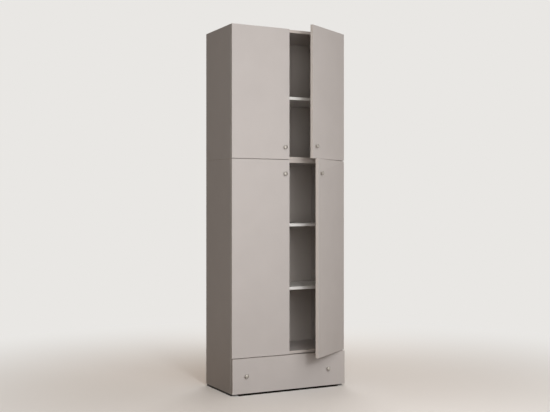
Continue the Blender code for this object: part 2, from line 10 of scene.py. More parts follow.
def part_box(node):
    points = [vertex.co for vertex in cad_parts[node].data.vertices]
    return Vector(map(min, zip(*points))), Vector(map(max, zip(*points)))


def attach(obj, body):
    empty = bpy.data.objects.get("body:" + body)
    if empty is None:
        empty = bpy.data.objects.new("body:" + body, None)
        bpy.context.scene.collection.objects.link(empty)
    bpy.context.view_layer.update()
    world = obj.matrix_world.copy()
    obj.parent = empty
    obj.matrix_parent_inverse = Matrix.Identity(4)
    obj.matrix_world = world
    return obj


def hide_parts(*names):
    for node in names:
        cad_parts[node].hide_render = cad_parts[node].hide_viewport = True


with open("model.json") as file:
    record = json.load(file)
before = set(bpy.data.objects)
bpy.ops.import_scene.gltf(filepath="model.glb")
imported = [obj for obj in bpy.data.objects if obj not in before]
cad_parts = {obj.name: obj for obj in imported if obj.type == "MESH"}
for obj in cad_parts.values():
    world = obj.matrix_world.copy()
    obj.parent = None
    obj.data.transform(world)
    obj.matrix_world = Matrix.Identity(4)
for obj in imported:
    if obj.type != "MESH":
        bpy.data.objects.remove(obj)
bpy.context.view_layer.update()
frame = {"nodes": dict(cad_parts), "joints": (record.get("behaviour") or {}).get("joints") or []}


# Side boards
# Each of the four sides is 16 mm chipboard, faced on both sides with greige melamine paper and
# sawn to size. An edging strip is glued on its front edge and the other edges show raw chips.
# Two rows of drilled holes on its inner face take the pins of the adjustable shelves.

MM = 0.001
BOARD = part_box("top_board")[1].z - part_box("top_board")[0].z
HALF_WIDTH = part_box("lower_right_side")[1].x
INNER_HALF = HALF_WIDTH - BOARD
ARRIS = 0.5 * MM
ROUND_STEPS = 2
PIN_HOLE_RADIUS = 2.6 * MM
PIN_HOLE_DEPTH = 11 * MM
PIN_HOLE_PITCH = 32 * MM
PIN_HOLES_PER_SHELF = 7
PIN_ROW_FROM_EDGE = 37 * MM
PIN_BELOW_SHELF = 2.8 * MM
DRILL_SIDES = 16
SHELVES = ("lower_shelf", "middle_shelf", "upper_shelf")
HANDS = {"left": -1, "right": 1}
# A mix node has several sockets of the same name, so those for colours go by number.
MIX_FIRST, MIX_SECOND, MIX_COLOUR = 6, 7, 2


def srgb(code):
    """Linear colour of an sRGB hex code."""
    shares = [int(code[place : place + 2], 16) / 255 for place in (1, 3, 5)]
    return [s / 12.92 if s <= 0.04045 else ((s + 0.055) / 1.055) ** 2.4 for s in shares] + [1.0]


def add_node(tree, kind, inputs=None, **settings):
    """Add a node with its settings. Its inputs are values, sockets to link, or lists of sockets."""
    node = tree.nodes.new(kind)
    for setting, value in settings.items():
        setattr(node, setting, value)
    for name, value in (inputs or {}).items():
        if isinstance(value, bpy.types.NodeSocket):
            tree.links.new(value, node.inputs[name])
        elif isinstance(value, list) and isinstance(value[0], bpy.types.NodeSocket):
            for socket in value:
                tree.links.new(socket, node.inputs[name])
        else:
            node.inputs[name].default_value = value
    return node


def new_finish(name):
    """Material with an empty tree, and the object coordinates that its patterns read."""
    material = bpy.data.materials.new(name)
    material.use_nodes = True
    material.node_tree.nodes.clear()
    place = add_node(material.node_tree, "ShaderNodeTexCoord").outputs["Object"]
    return material, material.node_tree, place


def surfaced(material, **inputs):
    """Give a material its shader, whose inputs are named with underscores for spaces."""
    named = {name.replace("_", " "): value for name, value in inputs.items()}
    tree = material.node_tree
    shader = add_node(tree, "ShaderNodeBsdfPrincipled", named)
    add_node(tree, "ShaderNodeOutputMaterial", {"Surface": shader.outputs["BSDF"]})
    return material


def mottled(tree, place, pale, deep, patch, detail):
    """Colour that wanders between two, in patches of a given width, and the pattern it follows."""
    cloud = {"Vector": place, "Scale": 1 / patch, "Detail": detail}
    share = add_node(tree, "ShaderNodeTexNoise", cloud).outputs["Fac"]
    colours = {0: share, MIX_FIRST: srgb(pale), MIX_SECOND: srgb(deep)}
    mix = add_node(tree, "ShaderNodeMix", colours, data_type="RGBA")
    return mix.outputs[MIX_COLOUR], share


def grained(tree, place, grain, detail, strength, depth):
    """Relief of grains of a given width and depth, and the pattern it follows."""
    speckle = {"Vector": place, "Scale": 1 / grain, "Detail": detail}
    height = add_node(tree, "ShaderNodeTexNoise", speckle).outputs["Fac"]
    relief = {"Height": height, "Strength": strength, "Distance": depth}
    return add_node(tree, "ShaderNodeBump", relief).outputs["Normal"], height


def melamine(name, pale, deep):
    """Decor paper set in resin and pressed on the board: an even satin skin, faintly cloudy.

    The real pearled grain is about 0.4 mm wide. It is drawn at 2 mm so that it shows.
    """
    material, tree, place = new_finish(name)
    paper, _ = mottled(tree, place, pale, deep, patch=140 * MM, detail=5.0)
    relief, pearl = grained(tree, place, grain=2 * MM, detail=2.0, strength=0.4, depth=0.15 * MM)
    levels = {"Value": pearl, "From Min": 0.3, "From Max": 0.7, "To Min": 0.38, "To Max": 0.5}
    gloss = add_node(tree, "ShaderNodeMapRange", levels).outputs["Result"]
    return surfaced(
        material, Base_Color=paper, Roughness=gloss, Specular_IOR_Level=0.22, Normal=relief
    )


def edging(name, pale, deep):
    """Strip of coloured ABS, glued on an edge and scraped flush: smoother and a little paler.

    The scraper leaves fine ripples. Real ones are under 0.5 mm apart; they are drawn at 3 mm.
    """
    material, tree, place = new_finish(name)
    strip, ripple = mottled(tree, place, pale, deep, patch=3 * MM, detail=1.0)
    scraped = {"Height": ripple, "Strength": 0.2, "Distance": 0.04 * MM}
    relief = add_node(tree, "ShaderNodeBump", scraped).outputs["Normal"]
    return surfaced(material, Base_Color=strip, Roughness=0.34, Normal=relief)


def raw_chipboard():
    """Pressed wood chips under a saw cut: pale and dark flakes, 1 to 4 mm long, with open pores."""
    material, tree, place = new_finish("raw_chipboard")
    flakes = add_node(tree, "ShaderNodeTexVoronoi", {"Vector": place, "Scale": 1 / (2.6 * MM)})
    wood = add_node(
        tree,
        "ShaderNodeMix",
        {0: flakes.outputs["Color"], MIX_FIRST: srgb("#C9A877"), MIX_SECOND: srgb("#8A6238")},
        data_type="RGBA",
    )
    relief, dust = grained(tree, place, grain=1.2 * MM, detail=4.0, strength=0.6, depth=0.3 * MM)
    pores = add_node(
        tree,
        "ShaderNodeMapRange",
        {"Value": dust, "From Min": 0.32, "From Max": 0.42, "To Min": 0.8, "To Max": 0.0},
    )
    chips = add_node(
        tree,
        "ShaderNodeMix",
        {
            0: pores.outputs["Result"],
            MIX_FIRST: wood.outputs[MIX_COLOUR],
            MIX_SECOND: srgb("#4A321D"),
        },
        data_type="RGBA",
    )
    return surfaced(material, Base_Color=chips.outputs[MIX_COLOUR], Roughness=0.85, Normal=relief)


def written(shape, mesh):
    """Mesh with a shape written into it."""
    shape.to_mesh(mesh)
    shape.free()
    return mesh


def box_mesh(low, high):
    """Box between two corners, with its arrises rounded."""
    shape = bmesh.new()
    bmesh.ops.create_cube(shape, size=1.0)
    for vertex in shape.verts:
        vertex.co = [high[axis] if vertex.co[axis] > 0 else low[axis] for axis in range(3)]
    bmesh.ops.bevel(
        shape, geom=shape.edges[:], offset=ARRIS, segments=ROUND_STEPS, profile=0.5, affect="EDGES"
    )
    bmesh.ops.recalc_face_normals(shape, faces=shape.faces)
    return written(shape, bpy.data.meshes.new("box"))


def dress(mesh, finish, sides=None):
    """Give a mesh its main finish, and other finishes to the faces that look along an axis."""
    sides = sides or {}
    finishes = list(dict.fromkeys((finish, *sides.values())))
    for each in finishes:
        mesh.materials.append(each)
    for face in mesh.polygons:
        axis = max(range(3), key=lambda count: abs(face.normal[count]))
        looks = ("-", "+")[face.normal[axis] > 0] + "XYZ"[axis]
        face.material_index = finishes.index(sides.get(looks, finish))
    return mesh


def new_object(name, data):
    """Object of a mesh, a lamp or a lens, linked to the scene."""
    thing = bpy.data.objects.new(name, data)
    bpy.context.scene.collection.objects.link(thing)
    return thing


def evaluated(holder):
    """Plain mesh of an object as its modifier leaves it. The object itself is removed."""
    graph = bpy.context.evaluated_depsgraph_get()
    mesh = bpy.data.meshes.new_from_object(holder.evaluated_get(graph))
    bpy.data.objects.remove(holder)
    return mesh


def changed(mesh, kind, **settings):
    """Mesh as one modifier leaves it."""
    holder = new_object("holder", mesh)
    modifier = holder.modifiers.new(kind, kind)
    for setting, value in settings.items():
        setattr(modifier, setting, value)
    return evaluated(holder)


def start_tree(name, **kinds):
    """Geometry tree that takes points and inputs of named kinds, with the sockets that give them.

    As in a call of grown, an input's name has underscores for spaces.
    """
    tree = bpy.data.node_groups.new(name, "GeometryNodeTree")
    tree.interface.new_socket("Points", in_out="INPUT", socket_type="NodeSocketGeometry")
    for label, kind in kinds.items():
        spaced = label.replace("_", " ")
        tree.interface.new_socket(spaced, in_out="INPUT", socket_type=f"NodeSocket{kind}")
    tree.interface.new_socket("Mesh", in_out="OUTPUT", socket_type="NodeSocketGeometry")
    return tree, add_node(tree, "NodeGroupInput").outputs


def set_on(tree, points, shape, facing):
    """Copies of a shape on points, each turned from upright to the facing direction."""
    turn = add_node(tree, "FunctionNodeAlignRotationToVector", {"Vector": facing}, axis="Z")
    copies = add_node(
        tree,
        "GeometryNodeInstanceOnPoints",
        {"Points": points, "Instance": shape, "Rotation": turn.outputs["Rotation"]},
    )
    return copies.outputs["Instances"]


def end_tree(tree, geometry, finish):
    """Make a tree's instances real and give them their finish."""
    real = add_node(tree, "GeometryNodeRealizeInstances", {"Geometry": geometry})
    dressed = add_node(
        tree, "GeometryNodeSetMaterial", {"Geometry": real.outputs["Geometry"], "Material": finish}
    )
    add_node(tree, "NodeGroupOutput", {"Mesh": dressed.outputs["Geometry"]})
    return tree


def grown(tree, points, **inputs):
    """Plain mesh of what a geometry tree makes on points."""
    seeds = bpy.data.meshes.new("seeds")
    seeds.from_pydata(points, [], [])
    holder = new_object("holder", seeds)
    modifier = holder.modifiers.new(tree.name, "NODES")
    modifier.node_group = tree
    for socket in tree.interface.items_tree:
        label = socket.name.replace(" ", "_")
        if label in inputs:
            modifier[socket.identifier] = inputs[label]
    return evaluated(holder)


def drill_tree():
    """Rows of drills that start at points and go on by a step, each along the facing direction."""
    tree, given = start_tree(
        "drill_rows",
        Count="Int",
        Step="Vector",
        Radius="Float",
        Depth="Float",
        Facing="Vector",
        Finish="Material",
    )
    drill = add_node(
        tree,
        "GeometryNodeMeshCylinder",
        {"Vertices": DRILL_SIDES, "Radius": given["Radius"], "Depth": given["Depth"]},
    )
    row = add_node(tree, "GeometryNodeMeshLine", {"Count": given["Count"], "Offset": given["Step"]})
    drills = set_on(tree, row.outputs["Mesh"], drill.outputs["Mesh"], given["Facing"])
    rows = add_node(
        tree, "GeometryNodeInstanceOnPoints", {"Points": given["Points"], "Instance": drills}
    )
    return end_tree(tree, rows.outputs["Instances"], given["Finish"])


def drilled(mesh, starts, **rows):
    """Mesh with rows of holes from their starts. The cut walls take the drills' finish."""
    tool = new_object("drills", grown(DRILLS, starts, **rows))
    cut = changed(
        mesh,
        "BOOLEAN",
        operation="DIFFERENCE",
        object=tool,
        solver="EXACT",
        material_mode="TRANSFER",
    )
    bpy.data.objects.remove(tool)
    return cut


def finished(name, mesh, body, slot, *solids):
    """Make a mesh an object that rides on a body and stands for solids. Its slot is not used."""
    piece = new_object(name, mesh)
    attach(piece, body)
    if solids:
        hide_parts(*solids)


GREIGE_MELAMINE = melamine("greige_melamine", "#C9C3C0", "#C1BBB8")
GREIGE_EDGING = edging("greige_abs_edging", "#CCC4BE", "#C4BCB6")
RAW_CHIPBOARD = raw_chipboard()
DRILLS = drill_tree()
BOARD_EDGES = {"-Y": GREIGE_EDGING, "+Y": RAW_CHIPBOARD}

for level in ("lower", "upper"):
    for side, hand in HANDS.items():
        node = f"{level}_{side}_side"
        low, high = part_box(node)
        inner = hand * INNER_HALF
        low.x, high.x = sorted((inner, hand * HALF_WIDTH))
        ends = {**BOARD_EDGES, "+Z": GREIGE_EDGING, "-Z": RAW_CHIPBOARD}
        panel = dress(box_mesh(low, high), GREIGE_MELAMINE, ends)
        starts = []
        for shelf in SHELVES:
            pin_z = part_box(shelf)[0].z - PIN_BELOW_SHELF
            if low.z < pin_z < high.z:
                first = pin_z - (PIN_HOLES_PER_SHELF // 2) * PIN_HOLE_PITCH
                starts.append((inner, low.y + PIN_ROW_FROM_EDGE, first))
                starts.append((inner, high.y - PIN_ROW_FROM_EDGE, first))
        panel = drilled(
            panel,
            starts,
            Count=PIN_HOLES_PER_SHELF,
            Step=(0.0, 0.0, PIN_HOLE_PITCH),
            Radius=PIN_HOLE_RADIUS,
            Depth=2 * PIN_HOLE_DEPTH,
            Facing=(1.0, 0.0, 0.0),
            Finish=RAW_CHIPBOARD,
        )
        finished(f"{node}_panel", panel, "carcass", "greige_melamine", node)


# Fixed boards
# Five boards hold each pair of sides apart: the bottom, the board over the drawer, the top of
# the lower box, and the floor and top of the upper one. They are the same chipboard, fixed at
# their ends with cam fittings whose holes are closed with plastic caps.

FIXED_BOARDS = (
    "bottom_board",
    "drawer_divider",
    "lower_top_board",
    "upper_floor_board",
    "top_board",
)
CAPPED_BOARDS = set(FIXED_BOARDS) - {"upper_floor_board"}
CAP_RADIUS = 8.5 * MM
CAP_TOP_RADIUS = 7.7 * MM
CAP_HEIGHT = 0.9 * MM
CAP_FROM_END = 34 * MM
CAP_FROM_EDGE = 50 * MM
HEAD_SIDES = 24
HEAD_TAPER = 0.8
RECESS_LENGTH_SHARE = 1.1
RECESS_WIDTH_SHARE = 0.26
RECESS_HEIGHT_SHARE = 1.4


def moulded(name, colour, shade, roughness):
    """Moulded plastic: one colour with faint flow marks, and a fine spark-eroded texture.

    The real texture is about 0.1 mm. It is drawn at 1 mm so that it shows.
    """
    material, tree, place = new_finish(name)
    plastic, _ = mottled(tree, place, colour, shade, patch=14 * MM, detail=2.0)
    texture, _ = grained(tree, place, grain=1 * MM, detail=1.0, strength=0.25, depth=0.05 * MM)
    return surfaced(material, Base_Color=plastic, Roughness=roughness, Normal=texture)


def head_tree(name, crossed):
    """Round heads set on points along the facing direction, with a cross recess if asked."""
    tree, given = start_tree(
        name,
        Radius="Float",
        Top_Radius="Float",
        Height="Float",
        Recess="Vector",
        Facing="Vector",
        Finish="Material",
    )
    sizes = {
        "Vertices": HEAD_SIDES,
        "Radius Top": given["Top Radius"],
        "Radius Bottom": given["Radius"],
        "Depth": given["Height"],
    }
    shape = add_node(tree, "GeometryNodeMeshCone", sizes).outputs["Mesh"]
    if crossed:
        slot = add_node(tree, "GeometryNodeMeshCube", {"Size": given["Recess"]})
        rise = add_node(tree, "ShaderNodeCombineXYZ", {"Z": given["Height"]})
        slots = []
        for turn in (0.0, math.pi / 2):
            raised = add_node(
                tree,
                "GeometryNodeTransform",
                {
                    "Geometry": slot.outputs["Mesh"],
                    "Translation": rise.outputs["Vector"],
                    "Rotation": (0.0, 0.0, turn),
                },
            )
            slots.append(raised.outputs["Geometry"])
        recessed = add_node(
            tree,
            "GeometryNodeMeshBoolean",
            {"Mesh 1": shape, "Mesh 2": slots},
            operation="DIFFERENCE",
            solver="EXACT",
        )
        shape = recessed.outputs["Mesh"]
    return end_tree(tree, set_on(tree, given["Points"], shape, given["Facing"]), given["Finish"])


def heads(tree, points, facing, radius, height, finish, taper=HEAD_TAPER):
    """Mesh of screw heads or caps on points, with a recess in proportion to the head."""
    recess = (
        RECESS_LENGTH_SHARE * radius,
        RECESS_WIDTH_SHARE * radius,
        RECESS_HEIGHT_SHARE * height,
    )
    return grown(
        tree,
        points,
        Radius=radius,
        Top_Radius=radius * taper,
        Height=height,
        Recess=recess,
        Facing=facing,
        Finish=finish,
    )


GREIGE_CAP = moulded("greige_polypropylene", "#C3BAB2", "#B8AFA7", 0.5)
PLAIN_HEADS = head_tree("plain_round_heads", False)

cap_points = []
for node in FIXED_BOARDS:
    low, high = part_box(node)
    panel = dress(box_mesh(low, high), GREIGE_MELAMINE, BOARD_EDGES)
    finished(f"{node}_panel", panel, "carcass", "greige_melamine", node)
    if node in CAPPED_BOARDS:
        for x in (low.x + CAP_FROM_END, high.x - CAP_FROM_END):
            for y in (low.y + CAP_FROM_EDGE, high.y - CAP_FROM_EDGE):
                cap_points.append((x, y, low.z))
taper = CAP_TOP_RADIUS / CAP_RADIUS
caps = heads(PLAIN_HEADS, cap_points, (0, 0, -1), CAP_RADIUS, CAP_HEIGHT, GREIGE_CAP, taper)
finished("cam_fitting_caps", caps, "carcass", "greige_melamine")


# Connecting bolts
# Four zinc-plated bolts with broad flat heads go down through the upper box's floor and hold
# the two boxes together. Their sleeve nuts show under the lower box's top.

BOLT_HEAD_RADIUS = 7 * MM
BOLT_HEAD_HEIGHT = 1.2 * MM
BOLT_FROM_END = 90 * MM
BOLT_FROM_EDGE = 70 * MM


def plated_steel(name, bright, dull, roughness):
    """Plated steel: a metal colour with a slightly uneven shine and fine rubbed scratches."""
    material, tree, place = new_finish(name)
    plating, bath = mottled(tree, place, bright, dull, patch=9 * MM, detail=3.0)
    levels = {
        "Value": bath,
        "From Min": 0.3,
        "From Max": 0.7,
        "To Min": roughness - 0.06,
        "To Max": roughness + 0.08,
    }
    shine = add_node(tree, "ShaderNodeMapRange", levels).outputs["Result"]
    scratches, _ = grained(tree, place, grain=0.7 * MM, detail=2.0, strength=0.12, depth=0.03 * MM)
    return surfaced(material, Base_Color=plating, Metallic=1.0, Roughness=shine, Normal=scratches)


def screw_heads(points, facing, radius, height, taper=HEAD_TAPER):
    """Mesh of zinc-plated heads with cross recesses on points."""
    return heads(CROSS_HEADS, points, facing, radius, height, ZINC_STEEL, taper)


def joined(meshes):
    """One mesh of several that share a finish."""
    shape = bmesh.new()
    for mesh in meshes:
        shape.from_mesh(mesh)
    return written(shape, meshes[0])


ZINC_STEEL = plated_steel("zinc_plated_steel", "#C9CAC8", "#A9ABAA", 0.34)
CROSS_HEADS = head_tree("cross_recess_heads", True)

floor_low, floor_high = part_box("upper_floor_board")
ceiling_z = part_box("lower_top_board")[0].z
bolt_places = [
    (x, y)
    for x in (floor_low.x + BOLT_FROM_END, floor_high.x - BOLT_FROM_END)
    for y in (floor_low.y + BOLT_FROM_EDGE, floor_high.y - BOLT_FROM_EDGE)
]
bolt_heads = []
for bolt_z, looks in ((floor_high.z, 1), (ceiling_z, -1)):
    points = [(x, y, bolt_z) for x, y in bolt_places]
    bolt_heads.append(screw_heads(points, (0, 0, looks), BOLT_HEAD_RADIUS, BOLT_HEAD_HEIGHT))
finished("connecting_bolts", joined(bolt_heads), "carcass", "nickel_steel")


# Backs
# Each box is closed by a thin hardboard sheet, laid on its rear edges and nailed all round. The
# front of the sheet is lacquered greige; its rear keeps the brown, screen-marked raw side. The
# nail heads stand half a millimetre proud of it and end where the solid back ends.

NAIL_HEAD_RADIUS = 1.6 * MM
NAIL_HEAD_HEIGHT = 0.5 * MM
NAIL_SPACING = 110 * MM
NAIL_INSET = 6 * MM
NAIL_SIDES = 14


def hardboard():
    """Wood fibre pressed on a wire screen: brown and fibrous, with the screen's fine square marks.

    The real screen has about 1.3 mm between wires. It is drawn at 4 mm so that it shows.
    """
    material, tree, place = new_finish("raw_hardboard")
    brown, _ = mottled(tree, place, "#A58160", "#835F41", patch=30 * MM, detail=8.0)
    # At a scale of 1 the bands of a wave lie pi / 10 apart.
    wires = math.pi / 10 / (4 * MM)
    marks = []
    for direction in ("X", "Z"):
        wire = add_node(
            tree,
            "ShaderNodeTexWave",
            {"Vector": place, "Scale": wires, "Distortion": 0.6, "Detail Scale": 2.0},
            bands_direction=direction,
        )
        marks.append(wire.outputs["Fac"])
    screen = add_node(tree, "ShaderNodeMath", {0: marks[0], 1: marks[1]}, operation="MULTIPLY")
    woven = screen.outputs["Value"]
    shaded = add_node(tree, "ShaderNodeMapRange", {"Value": woven, "To Min": 0.0, "To Max": 0.35})
    board = add_node(
        tree,
        "ShaderNodeMix",
        {0: shaded.outputs["Result"], MIX_FIRST: brown, MIX_SECOND: srgb("#BC9872")},
        data_type="RGBA",
    )
    pressed = {"Height": woven, "Strength": 0.5, "Distance": 0.2 * MM}
    relief = add_node(tree, "ShaderNodeBump", pressed).outputs["Normal"]
    return surfaced(material, Base_Color=board.outputs[MIX_COLOUR], Roughness=0.82, Normal=relief)


def nail_tree():
    """Nail heads spaced along a rectangle that is centred on each point and faces backwards."""
    tree, given = start_tree(
        "back_nails",
        Width="Float",
        Height="Float",
        Spacing="Float",
        Head_Radius="Float",
        Head_Height="Float",
        Finish="Material",
    )
    path = add_node(
        tree,
        "GeometryNodeCurvePrimitiveQuadrilateral",
        {"Width": given["Width"], "Height": given["Height"]},
    )
    spots = add_node(
        tree,
        "GeometryNodeResampleCurve",
        {"Curve": path.outputs["Curve"], "Length": given["Spacing"]},
        mode="LENGTH",
    )
    sizes = {
        "Vertices": NAIL_SIDES,
        "Radius Top": given["Head Radius"],
        "Radius Bottom": given["Head Radius"],
        "Depth": given["Head Height"],
    }
    head = add_node(tree, "GeometryNodeMeshCone", sizes)
    nails = add_node(
        tree,
        "GeometryNodeInstanceOnPoints",
        {"Points": spots.outputs["Curve"], "Instance": head.outputs["Mesh"]},
    )
    frames = add_node(
        tree,
        "GeometryNodeInstanceOnPoints",
        {
            "Points": given["Points"],
            "Instance": nails.outputs["Instances"],
            "Rotation": (-math.pi / 2, 0.0, 0.0),
        },
    )
    return end_tree(tree, frames.outputs["Instances"], given["Finish"])


RAW_HARDBOARD = hardboard()
LACQUERED_BACK = melamine("lacquered_hardboard", "#CBC4BE", "#C3BCB6")
NAILS = nail_tree()

for node in ("lower_back", "upper_back"):
    low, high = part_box(node)
    high.y -= NAIL_HEAD_HEIGHT
    sheet = dress(box_mesh(low, high), RAW_HARDBOARD, {"-Y": LACQUERED_BACK})
    finished(f"{node}_sheet", sheet, "carcass", "hardboard", node)
    centre = ((low.x + high.x) / 2, high.y, (low.z + high.z) / 2)
    nails = grown(
        NAILS,
        [centre],
        Width=high.x - low.x - 2 * NAIL_INSET,
        Height=high.z - low.z - 2 * NAIL_INSET,
        Spacing=NAIL_SPACING,
        Head_Radius=NAIL_HEAD_RADIUS,
        Head_Height=NAIL_HEAD_HEIGHT,
        Finish=ZINC_STEEL,
    )
    finished(f"{node}_nails", nails, "carcass", "nickel_steel")


# Skids
# A black polyethylene strip under each side board keeps its raw lower edge off the floor. It is
# extruded with two grooves along its sole, and nails in counterbores hold it to the board.

SKID_GROOVE = 1.5 * MM
SKID_GROOVE_WIDTH = 2 * MM
SKID_NAIL_BORE = 2.4 * MM
SKID_NAIL_DEPTH = 2 * MM
SKID_NAIL_FROM_END = 30 * MM
SKID_NAIL_COUNT = 3


def extruded(outline, start, end):
    """Solid drawn along Y from an outline of X and Z points."""
    shape = bmesh.new()
    near = [shape.verts.new((x, start, z)) for x, z in outline]
    far = [shape.verts.new((x, end, z)) for x, z in outline]
    shape.faces.new(near)
    shape.faces.new(far)
    for corner in range(len(outline)):
        shape.faces.new((near[corner - 1], near[corner], far[corner], far[corner - 1]))
    bmesh.ops.recalc_face_normals(shape, faces=shape.faces)
    return written(shape, bpy.data.meshes.new("extruded"))


BLACK_PLASTIC = moulded("black_polyethylene", "#262524", "#1D1C1B", 0.55)

for side in HANDS:
    low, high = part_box(f"{side}_skid")
    third = (high.x - low.x) / 3
    sole = []
    for groove_x in (low.x + third, high.x - third):
        sole.append((groove_x - SKID_GROOVE_WIDTH / 2, low.z))
        sole.append((groove_x, low.z + SKID_GROOVE))
        sole.append((groove_x + SKID_GROOVE_WIDTH / 2, low.z))
    outline = [(low.x, low.z), *sole, (high.x, low.z), (high.x, high.z), (low.x, high.z)]
    pitch = (high.y - low.y - 2 * SKID_NAIL_FROM_END) / (SKID_NAIL_COUNT - 1)
    middle = (low.x + high.x) / 2
    strip = drilled(
        dress(extruded(outline, low.y, high.y), BLACK_PLASTIC),
        [(middle, low.y + SKID_NAIL_FROM_END, low.z)],
        Count=SKID_NAIL_COUNT,
        Step=(0.0, pitch, 0.0),
        Radius=SKID_NAIL_BORE,
        Depth=2 * SKID_NAIL_DEPTH,
        Facing=(0.0, 0.0, 1.0),
        Finish=BLACK_PLASTIC,
    )
    finished(f"{side}_skid_strip", strip, "carcass", "black_plastic", f"{side}_skid")
    points = [
        (middle, low.y + SKID_NAIL_FROM_END + count * pitch, low.z + SKID_NAIL_DEPTH)
        for count in range(SKID_NAIL_COUNT)
    ]
    nails = heads(PLAIN_HEADS, points, (0, 0, -1), NAIL_HEAD_RADIUS, NAIL_HEAD_HEIGHT, ZINC_STEEL)
    finished(f"{side}_skid_nails", nails, "carcass", "nickel_steel")


# Adjustable shelves
# Three loose shelves of white melamine-faced chipboard lie on steel pins. White edging covers
# their front and end edges; the rear edge is raw.

PIN_RADIUS = 2.5 * MM
PIN_REACH = 8 * MM
PIN_COLLAR_RADIUS = 4 * MM
PIN_COLLAR = 0.6 * MM
PIN_SIDES = 20


def pin_tree():
    """Pins on points: a round shank along the facing direction, with a collar on the board."""
    tree, given = start_tree(
        "shelf_pins",
        Radius="Float",
        Length="Float",
        Collar_Radius="Float",
        Collar="Float",
        Facing="Vector",
        Finish="Material",
    )
    shank = add_node(
        tree,
        "GeometryNodeMeshCylinder",
        {"Vertices": PIN_SIDES, "Radius": given["Radius"], "Depth": given["Length"]},
    )
    sizes = {
        "Vertices": PIN_SIDES,
        "Radius Top": given["Collar Radius"],
        "Radius Bottom": given["Collar Radius"],
        "Depth": given["Collar"],
    }
    collar = add_node(tree, "GeometryNodeMeshCone", sizes)
    meshes = [shank.outputs["Mesh"], collar.outputs["Mesh"]]
    pin = add_node(tree, "GeometryNodeJoinGeometry", {"Geometry": meshes})
    pins = set_on(tree, given["Points"], pin.outputs["Geometry"], given["Facing"])
    return end_tree(tree, pins, given["Finish"])


WHITE_MELAMINE = melamine("white_melamine", "#F4F3F0", "#EDECE9")
WHITE_EDGING = edging("white_abs_edging", "#F6F5F2", "#F0EFEC")
NICKEL_STEEL = plated_steel("nickel_plated_steel", "#C8C4BC", "#A8A49C", 0.27)
SHELF_PINS = pin_tree()

side_low, side_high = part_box("upper_left_side")
pin_rows = (side_low.y + PIN_ROW_FROM_EDGE, side_high.y - PIN_ROW_FROM_EDGE)
for node in SHELVES:
    low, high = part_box(node)
    ends = {"-X": WHITE_EDGING, "+X": WHITE_EDGING, "-Y": WHITE_EDGING, "+Y": RAW_CHIPBOARD}
    panel = dress(box_mesh(low, high), WHITE_MELAMINE, ends)
    finished(f"{node}_panel", panel, "carcass", "white_melamine", node)
    pins = []
    for hand in HANDS.values():
        pin_mesh = grown(
            SHELF_PINS,
            [(hand * INNER_HALF, y, low.z - PIN_BELOW_SHELF) for y in pin_rows],
            Radius=PIN_RADIUS,
            Length=2 * PIN_REACH,
            Collar_Radius=PIN_COLLAR_RADIUS,
            Collar=PIN_COLLAR,
            Facing=(-hand, 0.0, 0.0),
            Finish=NICKEL_STEEL,
        )
        pins.append(pin_mesh)
    finished(f"{node}_pins", joined(pins), "carcass", "nickel_steel")


# Hinge arms
# Each concealed hinge has a cranked steel arm on a mounting plate that is screwed to the side
# board. Both are pressed and nickel-plated. Two screws hold the plate and two more set the arm.

DOORS = ("lower_left_door", "lower_right_door", "upper_left_door", "upper_right_door")
ARM_ROUND = 0.25 * MM
PLATE_STEP = 1.2 * MM
PLATE_SCREW_RADIUS = 3.8 * MM
PLATE_SCREW_HEIGHT = 1.1 * MM
PLATE_SCREW_SPREAD = 16 * MM
PLATE_SCREW_FROM_REAR = 18 * MM
ARM_SCREW_RADIUS = 3 * MM
ARM_SCREW_HEIGHT = 0.9 * MM
ARM_SCREWS_FROM_REAR = (9 * MM, 31 * MM)
JOIN_DISTANCE = 0.001 * MM
SLIVER = 0.005 * MM
FLAT_ANGLE = math.radians(0.5)
SHARP_ANGLE = math.radians(40)


def solid_copy(node):
    """Copy of a solid's mesh with its corners joined and its flat faces whole."""
    shape = bmesh.new()
    shape.from_mesh(frame["nodes"][node].data)
    bmesh.ops.remove_doubles(shape, verts=shape.verts, dist=JOIN_DISTANCE)
    bmesh.ops.dissolve_limit(shape, angle_limit=FLAT_ANGLE, verts=shape.verts, edges=shape.edges)
    return written(shape, bpy.data.meshes.new(node))


def rounded(mesh, width):
    """Mesh with its sharp edges rounded, without the slivers that this can leave."""
    soft = changed(
        mesh,
        "BEVEL",
        width=width,
        segments=ROUND_STEPS,
        limit_method="ANGLE",
        angle_limit=SHARP_ANGLE,
        use_clamp_overlap=True,
    )
    shape = bmesh.new()
    shape.from_mesh(soft)
    bmesh.ops.dissolve_degenerate(shape, edges=shape.edges, dist=SLIVER)
    return written(shape, soft)


def hinge_nodes(door, part):
    """Names of a door's hinge cups or arms."""
    return sorted(name for name in frame["nodes"] if name.startswith(f"{door}_hinge_{part}_"))


for door in DOORS:
    hand = HANDS["left" if "left" in door else "right"]
    arms = []
    screws = []
    for node in hinge_nodes(door, "arm"):
        low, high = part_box(node)
        arms.append(rounded(solid_copy(node), ARM_ROUND))
        face = high.x if hand < 0 else low.x
        middle = (low.z + high.z) / 2
        plate_face = face + hand * PLATE_STEP
        plate_y = high.y - PLATE_SCREW_FROM_REAR
        plate_points = [(plate_face, plate_y, middle + up * PLATE_SCREW_SPREAD) for up in (-1, 1)]
        arm_points = [(face, high.y - distance, middle) for distance in ARM_SCREWS_FROM_REAR]
        inwards = (-hand, 0, 0)
        screws.append(screw_heads(plate_points, inwards, PLATE_SCREW_RADIUS, PLATE_SCREW_HEIGHT))
        screws.append(screw_heads(arm_points, inwards, ARM_SCREW_RADIUS, ARM_SCREW_HEIGHT))
    arm_mesh = dress(joined(arms), NICKEL_STEEL)
    finished(f"{door}_hinge_arms", arm_mesh, "carcass", "nickel_steel", *hinge_nodes(door, "arm"))
    finished(f"{door}_hinge_screws", joined(screws), "carcass", "nickel_steel")


